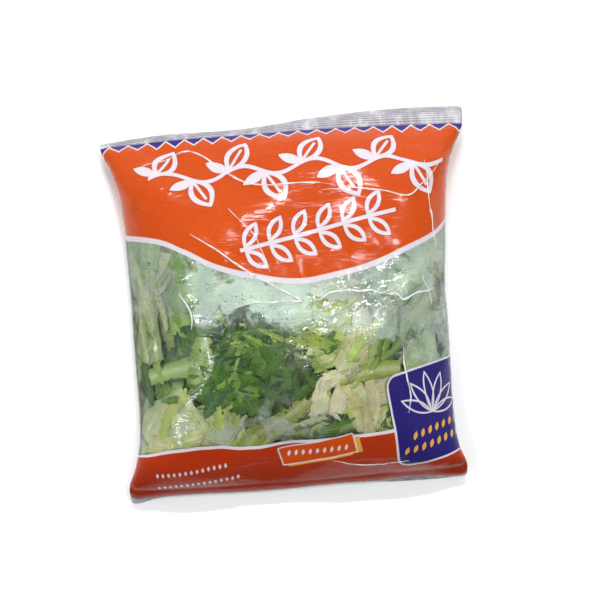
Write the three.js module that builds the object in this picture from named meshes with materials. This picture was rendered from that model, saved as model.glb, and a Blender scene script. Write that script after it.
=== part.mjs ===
// A pillow bag of salad leaves, lying on its back with the printed side up: one closed solid of its outer form.
// The film starts as a flat tube, is filled out by what it holds, and settles on the table.
// Millimetres. +X runs across the print to the right, +Y up the print to the top seal, +Z away from the table.
// The origin is on the table, below the middle of the bag's box.
import * as THREE from "three";

// The bag, laid flat and empty
const FLAT_WIDTH = 250;
const FLAT_HEIGHT = 304;
const SEAL_HEIGHT = 16.4;
const SEAL_THICKNESS = 0.9;

// The film is a grid: columns round the tube, first over the front and then over the back, and rows up it
const COLUMNS = 96;
const FOLD = COLUMNS / 2;
const ROWS = 56;
const ACROSS_STEP = FLAT_WIDTH / FOLD;
const ROW_STEP = FLAT_HEIGHT / ROWS;
const SLANT_STEP = Math.sqrt(ACROSS_STEP * ACROSS_STEP + ROW_STEP * ROW_STEP);
const SEAL_ROWS = Math.round(SEAL_HEIGHT / ROW_STEP);

// What fills the bag: litres of leaves and air, and how unevenly the leaves press on the film
const FILL_LITRES = 2.2;
const LUMP_PRESS = 0.75;

// How much shorter the side folds are drawn up than the middle of the bag
const FOLD_GATHER = 0.06;

// Tucks that pinch a side fold: how far up the bag, on the left or the right, and how much of the length they take
const TUCK_REACH = 0.024;
const TUCKS = [
  { up: 0.85, right: false, take: 0.6 },
  { up: 0.16, right: false, take: 0.6 },
  { up: 0.84, right: true, take: 0.6 },
  { up: 0.53, right: true, take: 0.35 },
  { up: 0.1, right: true, take: 0.5 },
];
const START_BULGE = 22;
const START_RIPPLE = 0.8;

// How the film gives. Each share is how much of a wrong length is mended in one pass
const STRETCH_MEND = 1;
const SQUEEZE_MEND = 0.9;
const SLANT_STRETCH_MEND = 0.6;
const SLANT_SQUEEZE_MEND = 0.25;
const FILM_STIFFNESS = 0.12;
const SEAL_STIFFNESS = 0.3;
const STEPS = 1400;
const PASSES = 3;
const KEEP_SPEED = 0.93;
const PUMP = 0.004;
const SLACK = 0.9;
const SINK = 0.012;

// How hard each seal is bent up or down, from its left end to its right end
const SEAL_BEND = 0.012;
const TOP_SEAL_BENDS = [-0.3, -0.8, -1, -0.6, 0, -0.3, 0.1, 0.5, 0.8];
const TOP_SEAL_TUCKS_IN = [0.3, 0.5, 0.6, 0.3, 0, 0, 0, 0, 0];
const BOTTOM_SEAL_BENDS = [-0.5, -1, -1, -1, -1, -1, -1, -1, -0.6];
const BOTTOM_SEAL_TUCKS_IN = [-0.6, 0.2, 0.6, 0.6, 0.6, 0.6, 0.6, 0.4, 0.1];

// The filled bag lies a little askew, and its top is wider than its bottom
const SKEW = 0.02;
const TAPER = 0.08;

const inSeal = (row) => row <= SEAL_ROWS || row >= ROWS - SEAL_ROWS;
const at = (row, column) => row * COLUMNS + ((column + COLUMNS) % COLUMNS);

// 0 at the left fold and 1 at the right one, on the front and the back alike
const shareAcross = (column) => (column <= FOLD ? column : COLUMNS - column) / FOLD;

// How long the film is along the bag from this row to the next, less what is gathered near the side folds
function rowStep(row, column) {
  const share = shareAcross(column);
  const nearFold = (1 - Math.sin(Math.PI * share)) ** 2;
  let gather = FOLD_GATHER * nearFold;
  for (const { up, right, take } of TUCKS)
    if (right === share > 0.5)
      gather += take * nearFold * nearFold * Math.exp(-(((row + 0.5) / ROWS - up) ** 2) / TUCK_REACH ** 2);
  return ROW_STEP * (1 - gather);
}

// A value between evenly spaced stations, eased from one to the next
function between(stations, share) {
  const place = share * (stations.length - 1);
  const first = Math.min(Math.floor(place), stations.length - 2);
  const part = place - first;
  const eased = part * part * (3 - 2 * part);
  return stations[first] * (1 - eased) + stations[first + 1] * eased;
}

// How much more or less than the air alone the leaves press here
function leafPress(row, column) {
  const across = shareAcross(column);
  const up = row / ROWS;
  const side = column <= FOLD ? 0 : 1.7;
  const broad = Math.sin(11.3 * across + 1.9 * up + side) * Math.sin(9.1 * up - 2.2 * across + 0.6 + side);
  const small = Math.sin(23 * across - 7 * up + 1.1 + side) * Math.sin(19 * up + 6 * across + 2.6);
  return 1 + LUMP_PRESS * (broad + 0.6 * small);
}

function flatFilm() {
  const film = { x: [], y: [], z: [] };
  for (let row = 0; row <= ROWS; row++)
    for (let column = 0; column < COLUMNS; column++) {
      const across = shareAcross(column);
      const up = row / ROWS;
      const side = column <= FOLD ? 1 : -1;
      const bulge = START_BULGE * Math.sin(Math.PI * across) * Math.sin(Math.PI * up);
      const ripple = START_RIPPLE * Math.sin(1.7 * row + 2.3 * column) * Math.sin(1.3 * column - 0.7 * row);
      const turnedDown = Math.max(0, SEAL_ROWS - row) * ROW_STEP;
      film.x.push((across - 0.5) * FLAT_WIDTH);
      film.y.push((up - 0.5) * FLAT_HEIGHT + turnedDown);
      film.z.push(START_BULGE + side * bulge + ripple - turnedDown);
    }
  return { x: Float64Array.from(film.x), y: Float64Array.from(film.y), z: Float64Array.from(film.z) };
}

// Moves two points of the film along the line between them, towards their flat distance
function mend({ x, y, z }, i, j, flat, stretched, squeezed) {
  const dx = x[j] - x[i];
  const dy = y[j] - y[i];
  const dz = z[j] - z[i];
  const length = Math.sqrt(dx * dx + dy * dy + dz * dz);
  const share = ((length > flat ? stretched : squeezed) * 0.5 * (length - flat)) / length;
  x[i] += share * dx;
  y[i] += share * dy;
  z[i] += share * dz;
  x[j] -= share * dx;
  y[j] -= share * dy;
  z[j] -= share * dz;
}

function mendAcross(film) {
  for (const first of [0, 1])
    for (let row = 0; row <= ROWS; row++)
      for (let column = first; column < COLUMNS; column += 2)
        mend(film, at(row, column), at(row, column + 1), ACROSS_STEP, STRETCH_MEND, SQUEEZE_MEND);
}

function mendAlong(film) {
  for (const first of [0, 1])
    for (let row = first; row < ROWS; row += 2)
      for (let column = 0; column < COLUMNS; column++)
        mend(film, at(row, column), at(row + 1, column), rowStep(row, column), STRETCH_MEND, SQUEEZE_MEND);
}

function mendSlants(film) {
  for (const lean of [-1, 1])
    for (const first of [0, 1])
      for (let row = first; row < ROWS; row += 2)
        for (let column = 0; column < COLUMNS; column++)
          mend(film, at(row, column), at(row + 1, column + lean), SLANT_STEP, SLANT_STRETCH_MEND, SLANT_SQUEEZE_MEND);
}

// Points two steps apart resist coming nearer, which is what makes the film springy
function resistBending(film) {
  for (const first of [0, 2])
    for (let row = 0; row <= ROWS; row++)
      for (let column = first; column < COLUMNS; column += 4)
        for (const next of [0, 1]) {
          const stiffness = inSeal(row) ? SEAL_STIFFNESS : FILM_STIFFNESS;
          mend(film, at(row, column + next), at(row, column + next + 2), 2 * ACROSS_STEP, 0, stiffness);
        }
  for (const first of [0, 2])
    for (let row = first; row <= ROWS - 2; row += 4)
      for (const next of [0, 1])
        for (let column = 0; column < COLUMNS && row + next + 2 <= ROWS; column++) {
          const stiffness = inSeal(row + next) && inSeal(row + next + 2) ? SEAL_STIFFNESS : FILM_STIFFNESS;
          const length = rowStep(row + next, column) + rowStep(row + next + 1, column);
          mend(film, at(row + next, column), at(row + next + 2, column), length, 0, stiffness);
        }
}

// In a seal the front and the back are one
function bondSeals(film) {
  for (let row = 0; row <= ROWS; row++)
    for (let column = 1; column < FOLD && inSeal(row); column++)
      for (const axis of [film.x, film.y, film.z]) {
        const middle = (axis[at(row, column)] + axis[at(row, COLUMNS - column)]) / 2;
        axis[at(row, column)] = middle;
        axis[at(row, COLUMNS - column)] = middle;
      }
}

// Elsewhere the front stays above the back
function keepFrontAbove({ z }) {
  for (let row = SEAL_ROWS + 1; row < ROWS - SEAL_ROWS; row++)
    for (let column = 1; column < FOLD; column++) {
      const i = at(row, column);
      const j = at(row, COLUMNS - column);
      const overlap = Math.max(0, SEAL_THICKNESS - (z[i] - z[j])) / 2;
      z[i] += overlap;
      z[j] -= overlap;
    }
}

// Four times the area that a point of the film stands for, as a vector that points out of the bag
function outward({ x, y, z }, row, column) {
  const left = at(row, column - 1);
  const right = at(row, column + 1);
  const below = at(row - 1, column);
  const above = at(row + 1, column);
  const [ax, ay, az] = [x[right] - x[left], y[right] - y[left], z[right] - z[left]];
  const [bx, by, bz] = [x[above] - x[below], y[above] - y[below], z[above] - z[below]];
  return [ay * bz - az * by, az * bx - ax * bz, ax * by - ay * bx];
}

function litresIn(film) {
  let cubicMillimetres = 0;
  for (let row = 1; row < ROWS; row++)
    for (let column = 0; column < COLUMNS; column++)
      cubicMillimetres += (film.z[at(row, column)] * outward(film, row, column)[2]) / 4;
  return cubicMillimetres / 1e6;
}

function fillAndSettle(film) {
  const count = film.x.length;
  const names = ["x", "y", "z"];
  const speed = { x: new Float64Array(count), y: new Float64Array(count), z: new Float64Array(count) };
  for (let step = 0; step < STEPS; step++) {
    const before = { x: film.x.slice(), y: film.y.slice(), z: film.z.slice() };
    const pressure = PUMP * Math.max(0, FILL_LITRES / litresIn(film) - SLACK);
    for (let row = 0; row <= ROWS; row++)
      for (let column = 0; column < COLUMNS; column++) {
        const i = at(row, column);
        const push = inSeal(row) ? [0, 0, 0] : outward(before, row, column);
        const press = inSeal(row) ? 0 : pressure * leafPress(row, column);
        const stations = row < SEAL_ROWS ? BOTTOM_SEAL_BENDS : TOP_SEAL_BENDS;
        const inFin = row < SEAL_ROWS || row > ROWS - SEAL_ROWS;
        const bend = inFin ? SEAL_BEND * between(stations, shareAcross(column)) : 0;
        const tucks = row < SEAL_ROWS ? BOTTOM_SEAL_TUCKS_IN : TOP_SEAL_TUCKS_IN;
        const tuck = inFin ? SEAL_BEND * between(tucks, shareAcross(column)) * (row < SEAL_ROWS ? 1 : -1) : 0;
        film.x[i] += KEEP_SPEED * speed.x[i] + press * push[0];
        film.y[i] += KEEP_SPEED * speed.y[i] + press * push[1] + tuck;
        film.z[i] += KEEP_SPEED * speed.z[i] + press * push[2] + bend - SINK;
      }
    for (let pass = 0; pass < PASSES; pass++) {
      mendAcross(film);
      mendAlong(film);
      mendSlants(film);
      resistBending(film);
      bondSeals(film);
      keepFrontAbove(film);
      film.z = film.z.map((height) => Math.max(height, 0));
    }
    for (const name of names) speed[name] = speed[name].map((_, i) => film[name][i] - before[name][i]);
  }
}

// Keeps the front at least the film's thickness off the back, along the sheet's own normal
function giveThickness(film) {
  const { x, y, z } = film;
  const middle = (row, column) => {
    const r = Math.min(Math.max(row, 0), ROWS);
    const i = at(r, column);
    const j = at(r, COLUMNS - column);
    return new THREE.Vector3(x[i] + x[j], y[i] + y[j], z[i] + z[j]).multiplyScalar(0.5);
  };
  const moves = [];
  for (let row = 0; row <= ROWS; row++)
    for (let column = 1; column < FOLD; column++) {
      const wide = middle(row, column + 1).sub(middle(row, column - 1));
      const high = middle(row + 1, column).sub(middle(row - 1, column));
      const normal = wide.cross(high).normalize();
      const i = at(row, column);
      const j = at(row, COLUMNS - column);
      const gap = normal.dot(new THREE.Vector3(x[i] - x[j], y[i] - y[j], z[i] - z[j]));
      const move = Math.max(0, SEAL_THICKNESS - gap) / 2;
      const lift = Math.max(0, -(z[j] - normal.z * move), -(z[i] + normal.z * move));
      moves.push({ i, j, step: normal.multiplyScalar(move), lift });
    }
  for (const { i, j, step, lift } of moves) {
    x[i] += step.x;
    y[i] += step.y;
    z[i] += step.z + lift;
    x[j] -= step.x;
    y[j] -= step.y;
    z[j] -= step.z - lift;
  }
}

function lieAskew({ x, y }) {
  for (let i = 0; i < x.length; i++) x[i] = x[i] * (1 + (TAPER * y[i]) / FLAT_HEIGHT) + SKEW * y[i];
}

function bagGeometry() {
  const film = flatFilm();
  fillAndSettle(film);
  giveThickness(film);
  lieAskew(film);
  const position = new Float32Array(film.x.length * 3);
  film.x.forEach((_, i) => position.set([film.x[i], film.y[i], film.z[i]], i * 3));
  const index = [];
  const tile = (a, b, c, d) => index.push(a, b, c, a, c, d);
  for (let row = 0; row < ROWS; row++)
    for (let column = 0; column < COLUMNS; column++)
      tile(at(row, column), at(row, column + 1), at(row + 1, column + 1), at(row + 1, column));
  // The cut edges of the two seals close the solid
  for (let column = 1; column < FOLD - 1; column++) {
    tile(at(0, COLUMNS - column), at(0, COLUMNS - column - 1), at(0, column + 1), at(0, column));
    tile(at(ROWS, column), at(ROWS, column + 1), at(ROWS, COLUMNS - column - 1), at(ROWS, COLUMNS - column));
  }
  for (const [fold, beside] of [[0, 1], [FOLD, FOLD - 1]]) {
    const turn = fold === 0 ? [beside, COLUMNS - beside] : [COLUMNS - beside, beside];
    index.push(at(0, fold), at(0, turn[1]), at(0, turn[0]));
    index.push(at(ROWS, fold), at(ROWS, turn[0]), at(ROWS, turn[1]));
  }
  const geometry = new THREE.BufferGeometry();
  geometry.setAttribute("position", new THREE.BufferAttribute(position, 3));
  geometry.setIndex(index);
  geometry.computeBoundingBox();
  const centre = geometry.boundingBox.getCenter(new THREE.Vector3());
  geometry.translate(-centre.x, -centre.y, 0);
  geometry.computeVertexNormals();
  return geometry;
}

const printedFilm = new THREE.MeshStandardMaterial({ color: 0xd9531e, roughness: 0.3, metalness: 0 });
const saladBag = new THREE.Mesh(bagGeometry(), printedFilm);
saladBag.name = "salad_bag";

const part = new THREE.Group();
part.add(saladBag);

export default part;
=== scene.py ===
"""A sealed bag of cut salad leaves that lies on its back: thin printed film round a loose pile of leaves."""

import math
from collections import namedtuple
from functools import partial, partialmethod

import bpy
import numpy as np
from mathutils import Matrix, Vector


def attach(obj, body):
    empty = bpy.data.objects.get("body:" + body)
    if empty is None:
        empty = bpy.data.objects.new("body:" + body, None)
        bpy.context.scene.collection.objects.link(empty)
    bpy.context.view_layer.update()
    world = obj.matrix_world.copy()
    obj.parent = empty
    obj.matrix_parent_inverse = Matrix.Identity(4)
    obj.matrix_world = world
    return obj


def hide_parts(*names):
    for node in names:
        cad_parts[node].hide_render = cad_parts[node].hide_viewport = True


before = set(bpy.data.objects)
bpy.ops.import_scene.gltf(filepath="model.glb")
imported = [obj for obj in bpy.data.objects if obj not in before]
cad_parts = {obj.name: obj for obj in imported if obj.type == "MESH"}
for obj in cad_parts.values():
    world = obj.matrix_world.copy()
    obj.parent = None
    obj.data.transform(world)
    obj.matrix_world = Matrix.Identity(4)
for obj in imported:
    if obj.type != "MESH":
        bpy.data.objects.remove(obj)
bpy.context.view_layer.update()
MM = 0.001


# The film of the bag, as it is cut and sealed, in millimetres.
FLAT_WIDTH = 250.0
FLAT_HEIGHT = 304.0
SEAL_THICKNESS = 0.9
COLUMNS = 96
ROWS = 56
SEAL_ROWS = 3
SEAL_HEIGHT = FLAT_HEIGHT * SEAL_ROWS / ROWS
FILL_LITRES = 2.2
LUMP_PRESS = 0.75
FOLD_GATHER = 0.06
TUCK_REACH = 0.024
TUCKS = [(0.85, False, 0.6), (0.16, False, 0.6), (0.84, True, 0.6), (0.53, True, 0.35), (0.1, True, 0.5)]
SETTLE_STEPS = 1400
SETTLE_PASSES = 3
CUBIC_MM_PER_LITRE = 1e6
START_BULGE = 22.0
START_RIPPLE = 0.8
FILM_STIFFNESS = 0.12
SEAL_STIFFNESS = 0.3
KEEP_SPEED = 0.93
PUMP = 0.004
SLACK = 0.9
SINK = 0.012
SEAL_BEND = 0.012
TOP_SEAL_BENDS = [-0.3, -0.8, -1, -0.6, 0, -0.3, 0.1, 0.5, 0.8]
TOP_SEAL_TUCKS_IN = [0.3, 0.5, 0.6, 0.3, 0, 0, 0, 0, 0]
BOTTOM_SEAL_BENDS = [-0.5, -1, -1, -1, -1, -1, -1, -1, -0.6]
BOTTOM_SEAL_TUCKS_IN = [-0.6, 0.2, 0.6, 0.6, 0.6, 0.6, 0.6, 0.4, 0.1]
SKEW = 0.02
TAPER = 0.08


def eased(part):
    """A smooth step from 0 to 1."""
    part = np.clip(part, 0, 1)
    return part * part * (3 - 2 * part)


def between(stations, share):
    """Values between evenly spaced stations, eased from one to the next."""
    stations = np.asarray(stations, float)
    place = np.asarray(share) * (len(stations) - 1)
    first = np.minimum(place.astype(int), len(stations) - 2)
    part = eased(place - first)
    return stations[first] * (1 - part) + stations[first + 1] * part


def sampled(sheet, row, column):
    """A sheet's values at places between its points."""
    i, j = row.astype(int), column.astype(int)
    up, right = (row - i)[..., None], (column - j)[..., None]
    low = sheet[i, j] * (1 - right) + sheet[i, j + 1] * right
    high = sheet[i + 1, j] * (1 - right) + sheet[i + 1, j + 1] * right
    return low * (1 - up) + high * up


class Film:
    """The bag's film as a grid of points: columns round the tube, first the front and then the back, and rows up it."""

    def __init__(self, fineness, points):
        self.fineness = fineness
        self.columns = COLUMNS * fineness
        self.fold = self.columns // 2
        self.rows = ROWS * fineness
        self.seal_rows = SEAL_ROWS * fineness
        self.points = points
        column = np.arange(self.columns)
        self.share = np.where(column <= self.fold, column, self.columns - column) / self.fold
        self.side = np.where(column <= self.fold, 0.0, 1.7)

    def grid(self):
        return self.points.reshape(self.rows + 1, self.columns, 3)

    def rows_and_columns(self):
        return np.meshgrid(np.arange(self.rows + 1), np.arange(self.columns), indexing="ij")

    def at(self, row, column):
        return row * self.columns + column % self.columns

    def in_seal(self, row):
        return (row <= self.seal_rows) | (row >= self.rows - self.seal_rows)

    def row_length(self, row, column):
        """How long the film is from one row to the next, less what is gathered near the side folds."""
        share = self.share[column % self.columns]
        near_fold = (1 - np.sin(math.pi * share)) ** 2
        gather = FOLD_GATHER * near_fold
        for up, right, take in TUCKS:
            there = (share > 0.5) == right
            reach = np.exp(-(((row + 0.5) / self.rows - up) ** 2) / TUCK_REACH ** 2)
            gather = gather + there * take * near_fold ** 2 * reach
        return FLAT_HEIGHT / self.rows * (1 - gather)

    def make_springs(self):
        """Groups of points that hold each other at their flat distance. No point is twice in a group."""
        across = FLAT_WIDTH / self.fold
        slant = math.hypot(across, FLAT_HEIGHT / self.rows)
        rows = np.arange(self.rows + 1)
        columns = np.arange(self.columns)
        springs = []

        def add(row_list, column_list, rows_on, columns_on, length, stretched, squeezed):
            row, column = (a.ravel() for a in np.meshgrid(row_list, column_list, indexing="ij"))
            pair = self.at(row, column), self.at(row + rows_on, column + columns_on)
            values = [f(row, column) if callable(f) else f for f in (length, stretched, squeezed)]
            springs.append((*pair, *values))

        for first in (0, 1):
            add(rows, columns[first::2], 0, 1, across, 1, 0.9)
        for first in (0, 1):
            add(rows[first:-1:2], columns, 1, 0, self.row_length, 1, 0.9)
        for lean in (-1, 1):
            for first in (0, 1):
                add(rows[first:-1:2], columns, 1, lean, slant, 0.6, 0.25)

        def stiff_across(row, column):
            return np.where(self.in_seal(row), SEAL_STIFFNESS, FILM_STIFFNESS)

        def stiff_along(row, column):
            return np.where(self.in_seal(row) & self.in_seal(row + 2), SEAL_STIFFNESS, FILM_STIFFNESS)

        def two_rows(row, column):
            return self.row_length(row, column) + self.row_length(row + 1, column)

        for first in (0, 2):
            add(rows, columns[columns % 4 // 2 == first // 2], 0, 2, 2 * across, 0, stiff_across)
        for first in (0, 2):
            add(rows[:-2][rows[:-2] % 4 // 2 == first // 2], columns, 2, 0, two_rows, 0, stiff_along)
        return springs

    def mend(self, i, j, length, stretched, squeezed):
        """Moves each pair of points along the line between them, towards their flat distance."""
        apart = self.points[j] - self.points[i]
        distance = np.sqrt((apart * apart).sum(1))
        share = np.where(distance > length, stretched, squeezed) * 0.5 * (distance - length) / distance
        step = share[:, None] * apart
        self.points[i] += step
        self.points[j] -= step

    def bond_seals(self):
        grid = self.grid()
        for rows in (slice(0, self.seal_rows + 1), slice(self.rows - self.seal_rows, self.rows + 1)):
            front = grid[rows, 1:self.fold]
            back = grid[rows, :self.fold:-1]
            middle = (front + back) / 2
            grid[rows, 1:self.fold] = middle
            grid[rows, :self.fold:-1] = middle

    def keep_front_above(self):
        grid = self.grid()[self.seal_rows + 1:self.rows - self.seal_rows]
        front = grid[:, 1:self.fold, 2]
        back = grid[:, :self.fold:-1, 2]
        overlap = np.maximum(0, SEAL_THICKNESS - (front - back)) / 2
        front += overlap
        back -= overlap

    def outward(self):
        """Four times the area each point stands for, as vectors out of the bag, for all but the end rows."""
        grid = self.grid()
        across = np.roll(grid, -1, 1) - np.roll(grid, 1, 1)
        return np.cross(across[1:-1], grid[2:] - grid[:-2])

    def settle(self):
        """Fills the film out with leaves and air, and lets it come to rest on the table."""
        row, column = self.rows_and_columns()
        across, up, side = self.share[column], row / self.rows, self.side[column]
        broad = np.sin(11.3 * across + 1.9 * up + side) * np.sin(9.1 * up - 2.2 * across + 0.6 + side)
        small = np.sin(23 * across - 7 * up + 1.1 + side) * np.sin(19 * up + 6 * across + 2.6)
        press = (1 + LUMP_PRESS * (broad + 0.6 * small)) * self.fineness ** 2
        press[self.in_seal(row)] = 0
        bottom = row < self.seal_rows
        top = row > self.rows - self.seal_rows
        lift, tuck = (
            np.where(bottom, between(at_bottom, across), np.where(top, sign * between(at_top, across), 0))
            for at_bottom, at_top, sign in (
                (BOTTOM_SEAL_BENDS, TOP_SEAL_BENDS, 1),
                (BOTTOM_SEAL_TUCKS_IN, TOP_SEAL_TUCKS_IN, -1),
            )
        )
        springs = self.make_springs()
        speed = np.zeros_like(self.points)
        for _ in range(SETTLE_STEPS):
            before = self.points.copy()
            push = self.outward()
            litres = (self.grid()[1:-1, :, 2] * push[:, :, 2]).sum() / (4 * CUBIC_MM_PER_LITRE)
            pressure = PUMP * max(0.0, FILL_LITRES / litres - SLACK)
            step = np.zeros_like(self.grid())
            step[1:-1] = pressure * press[1:-1, :, None] * push
            step[:, :, 1] += SEAL_BEND * tuck
            step[:, :, 2] += SEAL_BEND * lift - SINK
            self.points += KEEP_SPEED * speed + step.reshape(-1, 3)
            for _ in range(SETTLE_PASSES):
                for spring in springs:
                    self.mend(*spring)
                self.bond_seals()
                self.keep_front_above()
                np.maximum(self.points[:, 2], 0, out=self.points[:, 2])
            speed = self.points - before

    def finer(self):
        """The same film with twice the rows and columns, on smooth curves through the points."""
        grid = self.grid()
        wide = np.empty((self.rows + 1, 2 * self.columns, 3))
        wide[:, ::2] = grid
        wide[:, 1::2] = (9 * (grid + np.roll(grid, -1, 1)) - np.roll(grid, 1, 1) - np.roll(grid, -2, 1)) / 16
        padded = np.concatenate([2 * wide[:1] - wide[1:2], wide, 2 * wide[-1:] - wide[-2:-1]])
        tall = np.empty((2 * self.rows + 1, 2 * self.columns, 3))
        tall[::2] = wide
        tall[1::2] = (9 * (wide[:-1] + wide[1:]) - padded[:-3] - padded[3:]) / 16
        return Film(self.fineness * 2, tall.reshape(-1, 3))


def flat_film():
    """The empty bag, laid flat but for a slight bulge, its bottom seal turned down."""
    row, column = np.meshgrid(np.arange(ROWS + 1), np.arange(COLUMNS), indexing="ij")
    fold = COLUMNS // 2
    across = np.where(column <= fold, column, COLUMNS - column) / fold
    up = row / ROWS
    side = np.where(column <= fold, 1, -1)
    bulge = START_BULGE * np.sin(math.pi * across) * np.sin(math.pi * up)
    ripple = START_RIPPLE * np.sin(1.7 * row + 2.3 * column) * np.sin(1.3 * column - 0.7 * row)
    turned_down = np.maximum(0, SEAL_ROWS - row) * FLAT_HEIGHT / ROWS
    x = (across - 0.5) * FLAT_WIDTH
    y = (up - 0.5) * FLAT_HEIGHT + turned_down
    z = START_BULGE + side * bulge + ripple - turned_down
    return Film(1, np.stack([x, y, z], -1).reshape(-1, 3))


def give_thickness(film):
    """Keeps the front at least the film's thickness off the back, along the sheet's own normal."""
    grid = film.grid()
    front = grid[:, 1:film.fold]
    back = grid[:, :film.fold:-1]
    middle = np.concatenate([grid[:, :1], (front + back) / 2, grid[:, film.fold:film.fold + 1]], 1)
    wide = middle[:, 2:] - middle[:, :-2]
    padded = np.concatenate([middle[:1], middle, middle[-1:]])
    high = (padded[2:] - padded[:-2])[:, 1:-1]
    normal = np.cross(wide, high)
    normal /= np.linalg.norm(normal, axis=2, keepdims=True)
    gap = (normal * (front - back)).sum(2)
    move = np.maximum(0, SEAL_THICKNESS - gap)[:, :, None] / 2 * normal
    lift = np.maximum(0, np.maximum(move[:, :, 2] - back[:, :, 2], -move[:, :, 2] - front[:, :, 2]))
    front += move
    back -= move
    front[:, :, 2] += lift
    back[:, :, 2] += lift


def lie_askew(points):
    x, y = points[:, 0].copy(), points[:, 1]
    points[:, 0] = x * (1 + TAPER * y / FLAT_HEIGHT) + SKEW * y


# Sharp creases that catch the light: how high, how wide, and the line over the front they follow.
CREASES = [
    (1.1, 2.2, [(28, 263), (55, 274), (66, 272), (84, 255), (100, 243), (118, 238), (144, 238), (160, 235)]),
    (0.8, 2.0, [(150, 232), (171, 232), (191, 229), (208, 225), (219, 233), (227, 242), (234, 254)]),
    (1.2, 1.6, [(61, 208), (76, 196), (95, 181), (113, 169), (123, 163), (131, 158.6), (133.6, 157),
                (130, 156.6), (116, 157.2), (100, 157), (84, 154)]),
    (0.5, 1.6, [(87, 224), (96, 212), (105, 201), (113, 177)]),
    (1.4, 2.4, [(139, 159), (145, 157), (153, 161), (164, 161.5), (173, 160), (181, 161), (188, 158.5), (194, 160)]),
    (1.3, 2.2, [(190, 157), (198, 157), (203, 153), (212, 156), (221, 157), (232, 160)]),
    (0.9, 2.2, [(221, 252), (223, 236), (225, 222), (228, 206), (232, 188)]),
    (0.7, 1.8, [(218, 170), (220, 164), (228, 151), (231, 146)]),
    (0.8, 2.2, [(50, 168), (55, 160), (58, 150), (57, 142)]),
    (1.1, 2.0, [(204, 121), (205.5, 112), (208, 98), (209, 84), (206, 72)]),
    (0.6, 2.2, [(150, 40), (176, 33), (205, 36)]),
]
SEAL_PLEATS = 0.75
SEAL_PLEAT_REACH = 17.0
FOLD_PLEATS = 0.8
FOLD_PLEAT_REACH = 12.0
LEAF_LUMPS = 0.6
BACK_OFFSET = 777
SEAL_FADE = 7.0
FAN_REACH = 260.0
SEAL_PLEAT_PITCH = 17.0
FOLD_PLEAT_PITCH = 13.0
LUMPS_END = 205.0


def ripples(u, v, scale, seed, count=9):
    """Soft uneven waves of about the given size, from -1 to 1."""
    draw = np.random.default_rng(seed)
    total = 0
    for _ in range(count):
        turn, size, start = draw.uniform(0, math.pi), scale * draw.uniform(0.7, 1.5), draw.uniform(0, 6.3)
        total = total + np.sin((u * math.cos(turn) + v * math.sin(turn)) * 2 * math.pi / size + start)
    return total / math.sqrt(count)


def ridged(wave):
    """Sharp ridges where a wave crosses 0."""
    return 1 - np.sqrt(np.abs(np.sin(wave)))


def distance_to_line(u, v, line):
    """How far each place is from a line through the points."""
    nearest = np.full(u.shape, 1e9)
    for (u0, v0), (u1, v1) in zip(line, line[1:]):
        along = ((u - u0) * (u1 - u0) + (v - v0) * (v1 - v0)) / ((u1 - u0) ** 2 + (v1 - v0) ** 2)
        along = np.clip(along, 0, 1)
        nearest = np.minimum(nearest, np.hypot(u - u0 - along * (u1 - u0), v - v0 - along * (v1 - v0)))
    return nearest


def crinkle(film):
    """Adds what the coarse film is too coarse for: pleats from the seals and folds, leaf lumps and sharp creases."""
    row, column = film.rows_and_columns()
    share, v = film.share[column], row / film.rows * FLAT_HEIGHT
    front = column <= film.fold
    u = share * FLAT_WIDTH + np.where(front, 0, BACK_OFFSET)
    from_fold = FLAT_WIDTH * np.minimum(share, 1 - share)
    from_seal = np.minimum(v - SEAL_HEIGHT, FLAT_HEIGHT - SEAL_HEIGHT - v)
    fan = (share - 0.5) * FLAT_WIDTH * np.maximum(from_seal, 0) / FAN_REACH
    pleats = ridged((u - fan) * math.pi / SEAL_PLEAT_PITCH + 1.6 * ripples(u, v, 60, 1))
    pleats = pleats * np.exp(-np.maximum(from_seal - 6, 0) / SEAL_PLEAT_REACH)
    pleats = pleats * (0.6 + 0.4 * ripples(u, v * 0.3, 45, 2))
    side = ridged(v * math.pi / FOLD_PLEAT_PITCH + 1.5 * ripples(u * 0.4, v, 50, 3))
    side = side * np.exp(-from_fold / FOLD_PLEAT_REACH)
    side = side * (0.6 + 0.4 * ripples(u * 0.2, v, 38, 4)) * np.clip(from_fold / 4, 0, 1)
    lumps = ripples(u, v, 46, 5) + 0.45 * ripples(u, v, 20, 6) * np.clip((LUMPS_END - v) / 30, 0, 1)
    lumps = lumps * np.clip(from_fold / 25, 0, 1) * np.clip(from_seal / 40, 0, 1)
    height = SEAL_PLEATS * pleats + FOLD_PLEATS * side + LEAF_LUMPS * lumps
    for tall, wide, line in CREASES:
        wander = distance_to_line(u + 0.9 * ripples(u, v, 9, 7), v + 0.9 * ripples(u, v, 8, 8), line)
        height = height + front * tall * np.exp(-wander / wide) * (0.75 + 0.25 * ripples(u, v, 14, 9))
    grid = film.grid()
    normal = np.zeros_like(grid)
    normal[1:-1] = film.outward()
    normal /= np.maximum(np.linalg.norm(normal, axis=2, keepdims=True), 1e-9)
    grid += normal * (height * eased(from_seal / SEAL_FADE))[:, :, None]
    np.maximum(grid[:, :, 2], 0, out=grid[:, :, 2])


def settled_film():
    """The film at rest, four times as fine as the solid it dresses, centred as that solid is."""
    coarse = flat_film()
    coarse.settle()
    fine = coarse.finer().finer()
    for film in (coarse, fine):
        give_thickness(film)
        lie_askew(film.points)
    low, high = coarse.points.min(0), coarse.points.max(0)
    centre = (low + high) / 2
    centre[2] = 0
    fine.points -= centre
    smooth = Film(fine.fineness, fine.points.copy())
    crinkle(fine)
    return smooth, fine


smooth_film, film = settled_film()


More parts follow.
